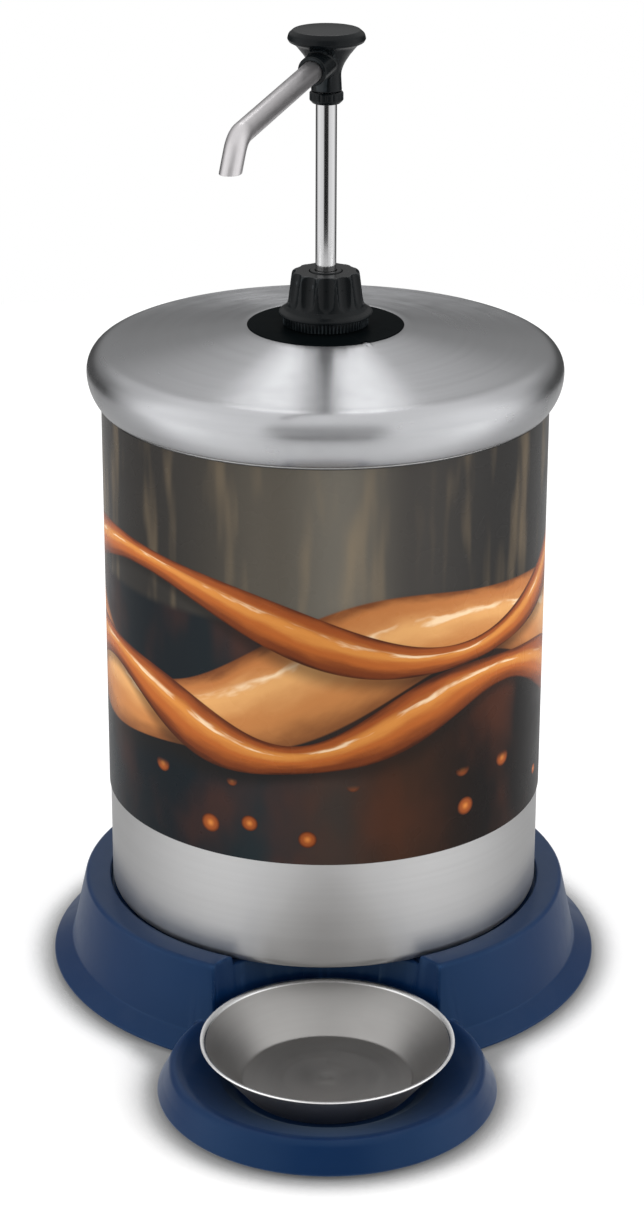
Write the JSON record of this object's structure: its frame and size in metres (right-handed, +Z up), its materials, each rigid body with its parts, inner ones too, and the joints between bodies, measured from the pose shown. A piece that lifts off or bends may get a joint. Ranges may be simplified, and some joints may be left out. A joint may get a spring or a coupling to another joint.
{
  "type": "syrup dispenser",
  "caption": "Countertop syrup dispenser: round steel can with a lift-off dome lid and hand pump, standing in a moulded base with a front lobe that holds a loose drip dish.",
  "frame": {"origin": "on the ground, under the middle of the dispenser's width and length", "axes": "+Z up along the can and pump axis, -Y towards the drip dish, +X to the right seen from the dish side"},
  "size_m": [0.2942, 0.393, 0.5039],
  "materials": {
    "navy_plastic": "satin moulded, fine texture",
    "brushed_steel": "brushed stainless steel",
    "bright_steel": "polished stainless steel",
    "black_plastic": "satin black moulding",
    "label_print": null,
    "seal_rubber": "matte",
    "foot_rubber": "matte",
    "white_plastic": "natural polypropylene"
  },
  "bodies": {
    "base": {"base_shell": "navy_plastic", "foot_1": "foot_rubber", "foot_2": "foot_rubber", "foot_3": "foot_rubber", "foot_4": "foot_rubber", "foot_5": "foot_rubber", "foot_6": "foot_rubber"},
    "dish": {"drip_dish": "brushed_steel"},
    "can": {"canister": "brushed_steel", "label_wrap": "label_print"},
    "lid_unit": {"lid": "brushed_steel", "lid_adapter": "black_plastic", "adapter_gasket": "seal_rubber", "clamp_ring": "black_plastic", "guide_bush": "black_plastic", "wiper_ring": "seal_rubber", "pump_cylinder": "white_plastic", "cylinder_gasket": "seal_rubber", "foot_valve": "white_plastic", "dip_tube": "white_plastic", "return_spring": "bright_steel"},
    "collar": {"locking_collar": "black_plastic"},
    "intake": {"intake_ball": "bright_steel"},
    "piston_unit": {"piston": "white_plastic", "piston_seal": "seal_rubber"},
    "discharge": {"discharge_ball": "bright_steel"},
    "plunger": {"plunger_tube": "bright_steel", "head_nut": "black_plastic", "pump_head": "black_plastic", "spout_tube": "bright_steel"}
  },
  "joints": [
    {"name": "dish_lift", "type": "slide", "parent": "base", "child": "dish", "axis": [0, -0.866, 0.5], "range_m": [0, 0.12]},
    {"name": "can_lift", "type": "slide", "parent": "base", "child": "can", "axis": [0, 0, 1], "range_m": [0, 0.08]},
    {"name": "lid_lift", "type": "slide", "parent": "can", "child": "lid_unit", "axis": [0, 0, 1], "range_m": [0, 0.3]},
    {"name": "collar_turn", "type": "hinge", "parent": "lid_unit", "child": "collar", "pos_m": [0, 0.04945, 0.36], "axis": [0, 0, 1], "range_deg": [0, 90]},
    {"name": "pump_stroke", "type": "slide", "parent": "lid_unit", "child": "piston_unit", "axis": [0, 0, -1], "range_m": [0, 0.084], "stiffness_N_per_m": 150, "springref_m": -0.04, "deforming": ["return_spring"]},
    {"name": "spout_swivel", "type": "hinge", "parent": "piston_unit", "child": "plunger", "pos_m": [0, 0.04945, 0.48], "axis": [0, 0, 1], "continuous": true},
    {"name": "intake_ball_lift", "type": "slide", "parent": "lid_unit", "child": "intake", "axis": [0, 0, 1], "range_m": [0, 0.0025]},
    {"name": "discharge_ball_lift", "type": "slide", "parent": "piston_unit", "child": "discharge", "axis": [0, 0, 1], "range_m": [0, 0.0025]}
  ]
}
